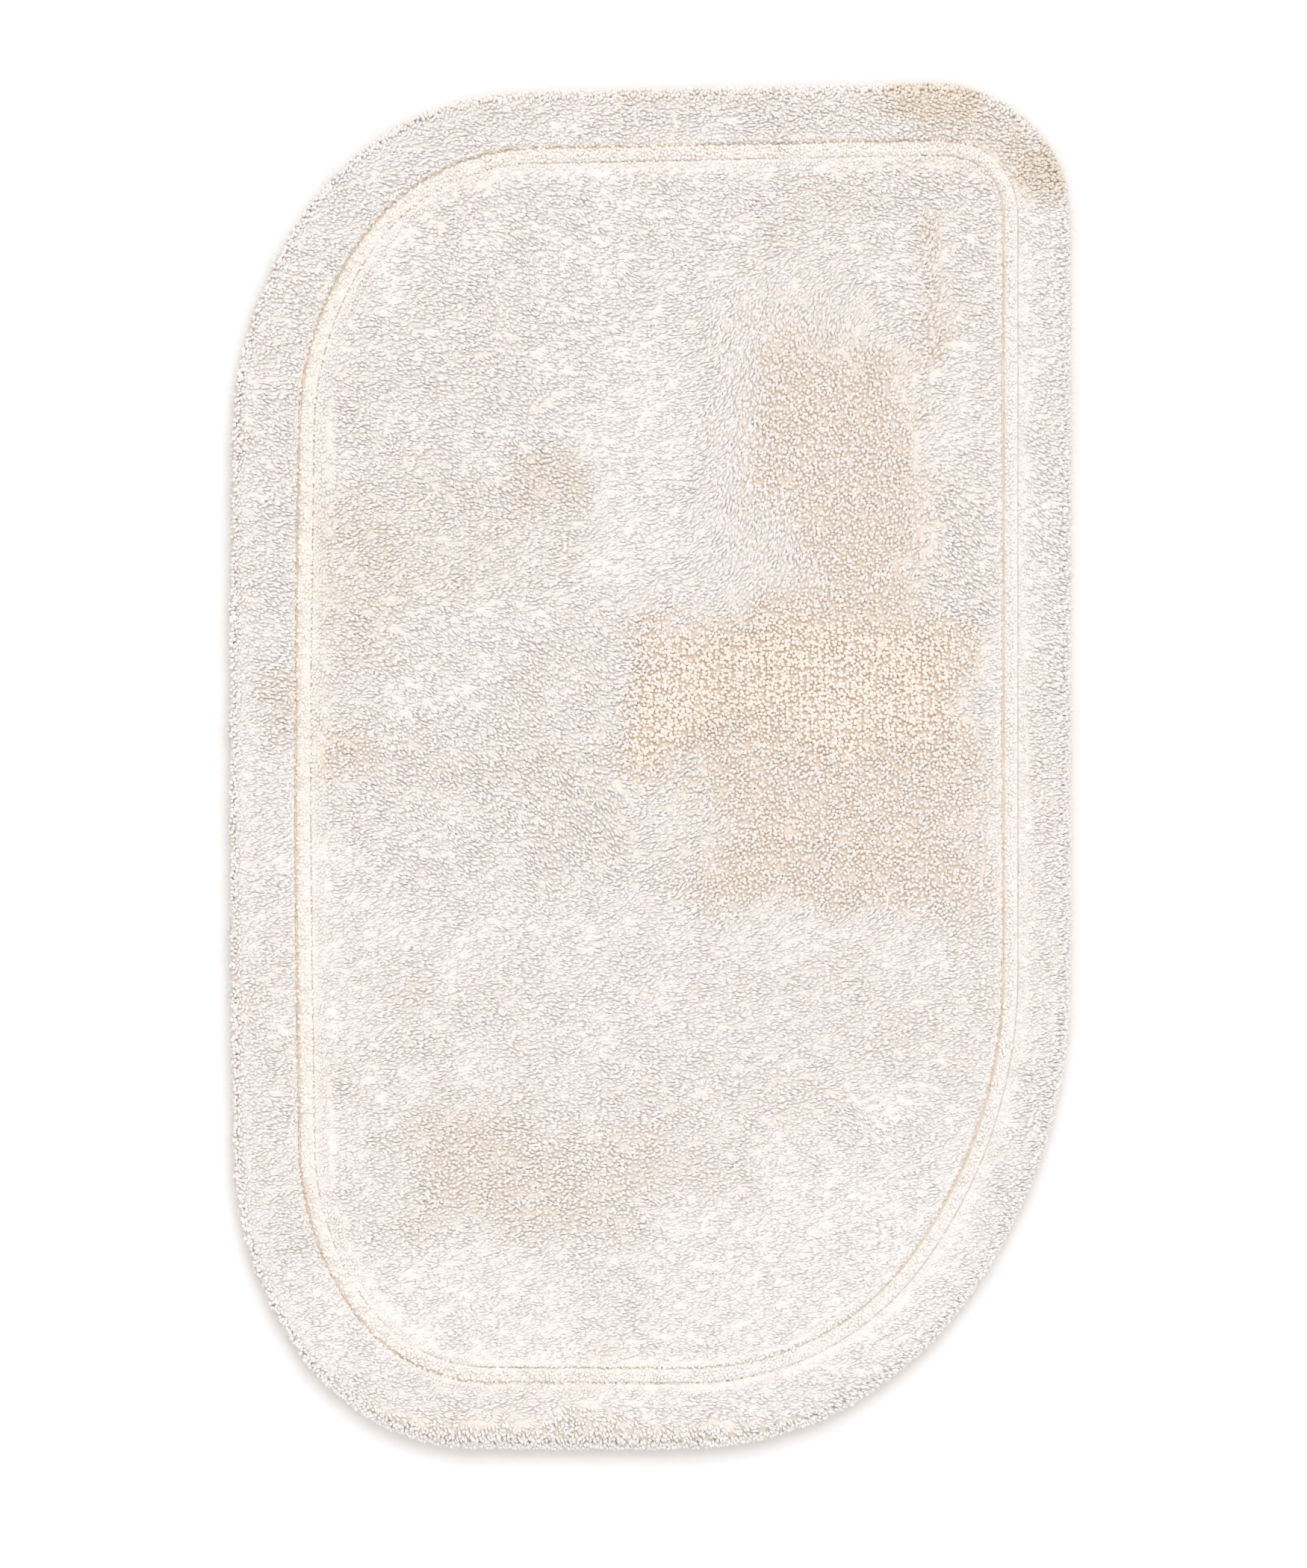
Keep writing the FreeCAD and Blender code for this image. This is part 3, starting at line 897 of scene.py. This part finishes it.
def makeStitches(name, loop, height):
    # one stitch is five-sided and flattened, thick in the middle, its ends sunk into the cloth
    count = int(loopLength(loop) / underside["stitchPitch"])
    place = evenLoop(loop, count)
    out = loopNormals(place)
    forward = np.stack([-out[:, 1], out[:, 0]], 1)
    sides = 5
    angle = 2 * np.pi * np.arange(sides) / sides
    along = np.array([-0.5, -0.34, 0.34, 0.5]) * underside["stitchLength"]
    size = np.array([0.45, 1.0, 1.0, 0.45])
    sunk = np.array([0.22, 0.0, 0.0, 0.22]) * mm
    across = (size[:, None] * np.cos(angle)) * underside["stitchWidth"]
    up = (size[:, None] * np.sin(angle)) * underside["stitchHeight"] + sunk[:, None]
    flat = (place[:, None, None] + forward[:, None, None] * along[None, :, None, None]
            + out[:, None, None] * across[None, :, :, None])
    tall = np.broadcast_to(height + up, (count, *up.shape))[..., None]
    points = np.concatenate([flat, tall], 3).reshape(-1, 3)
    k = np.arange(sides)
    following = (k + 1) % sides
    faces = []
    for r in range(3):
        low, high = r * sides, (r + 1) * sides
        faces.append(np.stack([low + k, high + k, high + following], 1))
        faces.append(np.stack([low + k, high + following, low + following], 1))
    fan = np.arange(1, sides - 1)
    faces.append(np.stack([0 * fan, fan, fan + 1], 1))
    faces.append(3 * sides + np.stack([0 * fan, fan + 1, fan], 1))
    faces = np.concatenate(faces)
    every = faces[None] + 4 * sides * np.arange(count)[:, None, None]
    spot = np.stack([0.5 + 0.2 * np.cos(angle)[None] * (1 + np.arange(4)[:, None] / 3),
                     0.5 + 0.2 * np.sin(angle)[None] * (1 + np.arange(4)[:, None] / 3)], 2).reshape(-1, 2)
    return meshObject(name, points, every.reshape(-1, 3), cellMap(spot[faces.ravel()], count))


def roundedRectangle(low, high, corner, inset, count):
    # evenly spaced loop round a rectangle whose corners are quarter circles
    low, high = np.array(low) + inset, np.array(high) - inset
    corner = max(corner - inset, 0.3 * mm)
    turn = np.linspace(0, np.pi / 2, 9)
    quarter = np.stack([np.cos(turn), np.sin(turn)], 1) * corner
    corners = []
    left, front, right, back = *(low + corner), *(high - corner)
    for middle, c, s in (((right, back), 1, 0), ((left, back), 0, 1), ((left, front), -1, 0),
                         ((right, front), 0, -1)):
        corners.append(np.array(middle) + quarter @ np.array([[c, s], [-s, c]]))    # a quarter turn each
    return evenLoop(np.concatenate(corners), count)


def makeLabel():
    low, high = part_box("care_label")
    bottom, top = low[2], high[2]
    rings = []
    for inset, height in ((0.35 * mm, bottom), (0.0, bottom + 0.12 * mm), (0.0, top - 0.12 * mm),
                          (0.35 * mm, top)):
        loop = roundedRectangle(low[:2], high[:2], underside["labelCorner"], inset, 200)
        wave = 0.5 + 0.5 * np.sin(2 * np.pi * loop[:, 1] / underside["labelWaveLength"])
        wave = underside["labelWave"] * wave
        rings.append(np.column_stack([loop, height + wave * (height < (bottom + top) / 2)]))
    return closedRings("care_label_cloth", rings)


cloth = makeCloth()
tape = makeTape()
seamLoops = [offsetLoop(outline, -insetOf("hem_tape") - seam) for seam in underside["seams"]]
outerStitches = makeStitches("outer_hem_stitches", seamLoops[0], underside["stitchHeight"])
innerStitches = makeStitches("inner_hem_stitches", seamLoops[1], underside["stitchHeight"])
label = makeLabel()
labelLow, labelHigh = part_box("care_label")
labelLoop = roundedRectangle(labelLow[:2], labelHigh[:2], underside["labelCorner"],
                             underside["labelSeam"], 400)
labelStitches = makeStitches("label_stitches", labelLoop, labelLow[2])
print("underside made")


def nodeTree(name):
    material = bpy.data.materials.new(name)
    material.use_nodes = True
    tree = material.node_tree
    tree.nodes.clear()
    shader = tree.nodes.new("ShaderNodeBsdfPrincipled")
    output = tree.nodes.new("ShaderNodeOutputMaterial")
    tree.links.new(shader.outputs[0], output.inputs["Surface"])
    return material, tree, shader


def setInputs(tree, node, inputs):
    # a socket is linked to the input, anything else becomes its value
    for key, value in inputs:
        if isinstance(value, bpy.types.NodeSocket):
            tree.links.new(value, node.inputs[key])
        else:
            node.inputs[key].default_value = value


def addNode(tree, kind, settings=None, inputs=None):
    node = tree.nodes.new(kind)
    for key, value in (settings or {}).items():
        setattr(node, key, value)
    setInputs(tree, node, (inputs or {}).items())
    return node


def mixColour(tree, factor, a, b, blend="MIX"):
    # sockets 6 and 7 of the mix node are its two colours, and output 2 is the mixed one
    node = addNode(tree, "ShaderNodeMix", {"data_type": "RGBA", "blend_type": blend})
    setInputs(tree, node, ((0, factor), (6, a), (7, b)))
    return node.outputs[2]


def mathNode(tree, operation, *values):
    node = addNode(tree, "ShaderNodeMath", {"operation": operation})
    setInputs(tree, node, enumerate(values))
    return node.outputs[0]


def rampNode(tree, factor, stops):
    node = addNode(tree, "ShaderNodeValToRGB", inputs={"Fac": factor})
    ramp = node.color_ramp
    while len(ramp.elements) < len(stops):
        ramp.elements.new(0.5)
    for element, (position, colour) in zip(ramp.elements, stops):
        element.position = position
        element.color = (*colour, 1)
    return node.outputs[0]


def scaled(tree, vector, scale):
    return addNode(tree, "ShaderNodeMapping", inputs={"Vector": vector, "Scale": scale}).outputs[0]


def noiseOf(tree, vector, scale, detail):
    return addNode(tree, "ShaderNodeTexNoise",
                   inputs={"Vector": vector, "Scale": scale, "Detail": detail}).outputs[0]


def bumpNode(tree, strength, distance, height):
    inputs = {"Strength": strength, "Distance": distance, "Height": height}
    return addNode(tree, "ShaderNodeBump", inputs=inputs).outputs[0]


def attributeNode(tree, name):
    return addNode(tree, "ShaderNodeAttribute", {"attribute_name": name}).outputs["Fac"]


cottonLook = {
    # colours of the plies and of the dense pile between them, by depth: 1 is ten millimetres; the cotton's
    # own colour at the top, then painted shade, darker and tanner the deeper a point lies
    "plyColourAndShade": [(0.02, (0.816, 0.808, 0.811)), (0.09, (0.844, 0.800, 0.760)),
                (0.28, (0.825, 0.738, 0.642)), (0.45, (0.76, 0.635, 0.505))],
    "bodyColourAndShade": [(0.05, (0.775, 0.757, 0.748)), (0.20, (0.765, 0.705, 0.642)),
                    (0.38, (0.68, 0.577, 0.475)), (0.95, (0.73, 0.64, 0.55))],
    "warm": (0.945, 0.88, 0.80),    # tints, multiplied in by warmth: the warm one partly painted shade, the cool one painted light
    "cool": (1.02, 1.03, 1.045),
    "under": (1.0, 0.895, 0.77),    # painted shade tinted onto a ply's underside
    "roughness": 0.95,
    "sheen": 0.2,
    "bump": 0.30,
}


def cottonMaterial(name, look):
    material, tree, shader = nodeTree(name)
    depth, warmthAndShading, tone, under = (attributeNode(tree, key) for key in ("depth", "warmthAndShading", "tone", "under"))
    fibreMap = addNode(tree, "ShaderNodeUVMap", {"uv_map": "Fibre"}).outputs[0]
    stretched = scaled(tree, fibreMap, (2600, 260, 1))
    fibres = addNode(tree, "ShaderNodeTexNoise", {"noise_dimensions": "2D"},
                     {"Vector": stretched, "Scale": 1.0, "Detail": 2.0, "Roughness": 0.6}).outputs[0]
    # colour by depth: the cotton's colour at the top, painted shade in the deeper parts
    body = rampNode(tree, depth, look["plyColourAndShade"])
    # warmth: partly tone from place to place, partly painted shade (warm tint) and painted light (cool tint)
    warmPart = mathNode(tree, "MAXIMUM", warmthAndShading, 0.0)
    coolPart = mathNode(tree, "MAXIMUM", mathNode(tree, "MULTIPLY", warmthAndShading, -1.0), 0.0)
    warmTint = mixColour(tree, warmPart, (1, 1, 1, 1), (*look["warm"], 1))
    coolTint = mixColour(tree, coolPart, (1, 1, 1, 1), (*look["cool"], 1))
    # painted shade on the plies' undersides
    body = mixColour(tree, 1.0, body, mixColour(tree, under, (1, 1, 1, 1), (*look["under"], 1)), "MULTIPLY")
    tinted = mixColour(tree, 1.0, body, warmTint, "MULTIPLY")
    tinted = mixColour(tree, 1.0, tinted, coolTint, "MULTIPLY")
    streak = rampNode(tree, fibres, [(0.25, (0.93, 0.915, 0.89)), (0.65, (1.0, 1.0, 1.0))])
    tinted = mixColour(tree, 0.8, tinted, streak, "MULTIPLY")
    lift = rampNode(tree, tone, [(0.0, (0.965, 0.96, 0.95)), (1.0, (1.0, 1.0, 1.0))])
    tinted = mixColour(tree, 1.0, tinted, lift, "MULTIPLY")
    tree.links.new(tinted, shader.inputs["Base Color"])
    shader.inputs["Roughness"].default_value = look["roughness"]
    shader.inputs["Sheen Weight"].default_value = look["sheen"]
    shader.inputs["Sheen Roughness"].default_value = 0.5
    shader.inputs["Specular IOR Level"].default_value = 0.1
    tree.links.new(bumpNode(tree, look["bump"], 0.0004, fibres), shader.inputs["Normal"])
    return material


def bodyMaterial():
    material, tree, shader = nodeTree("pile_depth")
    place = addNode(tree, "ShaderNodeTexCoord").outputs["Object"]
    drawn = scaled(tree, place, (230, 760, 400))
    noise = noiseOf(tree, drawn, 1.0, 3.0)
    depth = attributeNode(tree, "depth")
    streak = rampNode(tree, noise, [(0.36, (0.90, 0.86, 0.80)), (0.58, (1.0, 1.0, 1.0))])
    # the pile body's colour by depth, darker and tanner in the deep parts: painted shade
    colour = mixColour(tree, 1.0, rampNode(tree, depth, cottonLook["bodyColourAndShade"]), streak, "MULTIPLY")
    tree.links.new(colour, shader.inputs["Base Color"])
    shader.inputs["Roughness"].default_value = 0.95
    tree.links.new(bumpNode(tree, 0.4, 0.001, noise), shader.inputs["Normal"])
    return material


clothLook = {
    "canvas": (0.72, 0.65, 0.55), "tape": (0.74, 0.69, 0.61), "yarn": (0.80, 0.74, 0.66),
    "coat": (0.70, 0.67, 0.61), "thread": (0.86, 0.83, 0.78), "label": (0.88, 0.875, 0.86),
    "weavePitch": 0.9 * mm,     # canvas threads
    "twillPitch": 1.3 * mm,     # diagonal ribs of the tape
    "satinPitch": 0.35 * mm,    # threads of the label
    "threadPitch": 0.5 * mm,    # twist of the sewing thread
    "yarnPitch": 0.8 * mm,      # twist of the pile's yarn
}


def waveOf(tree, value, pitch, phase=0.0):
    # 0 to 1 wave: half + half * sin(2 pi value / pitch + phase)
    turned = mathNode(tree, "MULTIPLY_ADD", value, 2 * math.pi / pitch, phase)
    return mathNode(tree, "MULTIPLY_ADD", mathNode(tree, "SINE", turned), 0.5, 0.5)


def wovenMaterial(name, colour, kind, pitch, roughness, depth):
    # kinds: plain (threads cross), twill (diagonal ribs), rows (ribs over the pile's stitch rows)
    material, tree, shader = nodeTree(name)
    place = addNode(tree, "ShaderNodeTexCoord").outputs["Object"]
    parts = addNode(tree, "ShaderNodeSeparateXYZ", inputs={0: place}).outputs
    grain, patchy = noiseOf(tree, place, 900.0, 2.0), noiseOf(tree, place, 30.0, 2.0)
    if kind == "plain":
        weave = mathNode(tree, "MAXIMUM", waveOf(tree, parts[0], pitch), waveOf(tree, parts[1], pitch, 1.6))
    elif kind == "twill":
        weave = waveOf(tree, mathNode(tree, "ADD", parts[0], parts[1]), pitch)
    else:
        rib = waveOf(tree, parts[0], pitch, math.pi / 2)
        knot = waveOf(tree, parts[1], 0.8 * pitch)
        weave = mathNode(tree, "MULTIPLY", mathNode(tree, "POWER", rib, 3.0),
                         mathNode(tree, "MULTIPLY_ADD", knot, 0.35, 0.65))
    relief = mathNode(tree, "MULTIPLY_ADD", grain, 0.35, weave)
    dark = tuple(0.80 * c for c in colour)
    shade = rampNode(tree, relief, [(0.15, dark), (0.75, colour)])
    cloud = rampNode(tree, patchy, [(0.35, (0.95, 0.94, 0.925)), (0.65, (1.0, 1.0, 1.0))])
    tree.links.new(mixColour(tree, 1.0, shade, cloud, "MULTIPLY"), shader.inputs["Base Color"])
    shader.inputs["Roughness"].default_value = roughness
    shader.inputs["Specular IOR Level"].default_value = 0.25
    tree.links.new(bumpNode(tree, 0.6, depth, relief), shader.inputs["Normal"])
    return material


def dress(piece, material, node=None):
    # material, slot, the body it rides on and the CAD node it stands in for
    piece.data.materials.clear()
    piece.data.materials.append(material)
    if node:
        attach(piece, "root")
        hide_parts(node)


threadMaterial = wovenMaterial("sewing_thread", clothLook["thread"], "twill",
                               clothLook["threadPitch"], 0.6, 0.0001)
dress(cloth, wovenMaterial("canvas_weave", clothLook["canvas"], "plain",
                           clothLook["weavePitch"], 0.9, 0.0003), "backing_canvas")
dress(tape, wovenMaterial("tape_twill", clothLook["tape"], "twill",
                          clothLook["twillPitch"], 0.85, 0.0003), "hem_tape")
dress(label, wovenMaterial("label_satin", clothLook["label"], "twill",
                           clothLook["satinPitch"], 0.4, 0.00005), "care_label")
dress(outerStitches, threadMaterial, "outer_hem_thread")
dress(innerStitches, threadMaterial, "inner_hem_thread")
dress(labelStitches, threadMaterial)
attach(labelStitches, "root")
dress(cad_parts["back_stitch_rows"],
      wovenMaterial("pile_yarn", clothLook["yarn"], "twill", clothLook["yarnPitch"], 0.95, 0.0003))
dress(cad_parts["grip_coat"],
      wovenMaterial("latex_coat", clothLook["coat"], "rows", panel["rowPitch"], 0.55, 0.0005))

cotton, depthMaterial = cottonMaterial("cut_cotton", cottonLook), bodyMaterial()
for pieces, bodies, slot, node in ((panelPieces, [panelBody], "pile", "panel_pile"),
                                   (borderPieces, [borderBody], "pile", "border_pile"),
                                   ([channelPiece], [channelBody], "channel_pile", "channel_pile"),
                                   ([loosePiece], [], "pile", None)):
    for piece in (*pieces, *bodies):
        piece.data.materials.append(depthMaterial if piece in bodies else cotton)
        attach(piece, "root")
    if node:
        for piece in pieces:
            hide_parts(node)
print("materials given")

# Floor, light and camera
studio = {
    "floorColour": (0.82, 0.82, 0.82),
    "floorSize": 12.0,
    "worldColour": (1.0, 0.985, 0.975),
    "worldStrength": 1.09,
    "keyHeight": 57.0,              # degrees above the floor
    "keyTurn": 168.0,               # 180 is straight from behind the mat, less is more from the right
    "keyWidth": 34.0,               # degrees across, which softens the shadow
    "keyStrength": 1.15,
    "keyColour": (0.96, 0.99, 1.06),    # a little cooler than the light from all round
    "cameraHeight": 2.8,
    "sensorHeight": 36.0,           # mm
    "viewHeight": 1.1502,           # metres of floor that the frame's long side takes in
    "viewMiddle": (0.0033, -0.0132),
}


def makeStudio():
    half = studio["floorSize"] / 2
    corners = np.array([(-half, -half, 0), (half, -half, 0), (half, half, 0), (-half, half, 0)])
    floor = meshObject("floor", corners, np.array([[0, 1, 2, 3]]), smooth=False)
    material, _, shader = nodeTree("floor_white")
    shader.inputs["Base Color"].default_value = (*studio["floorColour"], 1)
    shader.inputs["Roughness"].default_value = 0.9
    shader.inputs["Specular IOR Level"].default_value = 0.1
    floor.data.materials.append(material)
    world = bpy.data.worlds.new("studio_world")
    bpy.context.scene.world = world
    world.use_nodes = True
    background = world.node_tree.nodes["Background"]
    background.inputs["Color"].default_value = (*studio["worldColour"], 1)
    background.inputs["Strength"].default_value = studio["worldStrength"]
    lamp = bpy.data.lights.new("key", "SUN")
    lamp.angle = math.radians(studio["keyWidth"])
    lamp.energy = studio["keyStrength"]
    lamp.color = studio["keyColour"]
    key = bpy.data.objects.new("key", lamp)
    key.rotation_euler = (math.radians(90 - studio["keyHeight"]), 0, math.radians(studio["keyTurn"]))
    bpy.context.scene.collection.objects.link(key)
    lens = bpy.data.cameras.new("camera")
    lens.sensor_fit = "VERTICAL"
    lens.sensor_height = studio["sensorHeight"]
    lens.lens = studio["sensorHeight"] * studio["cameraHeight"] / studio["viewHeight"]
    camera = bpy.data.objects.new("camera", lens)
    camera.location = (*studio["viewMiddle"], studio["cameraHeight"])
    bpy.context.scene.collection.objects.link(camera)
    bpy.context.scene.camera = camera
    bpy.context.scene.view_settings.view_transform = "Standard"


makeStudio()
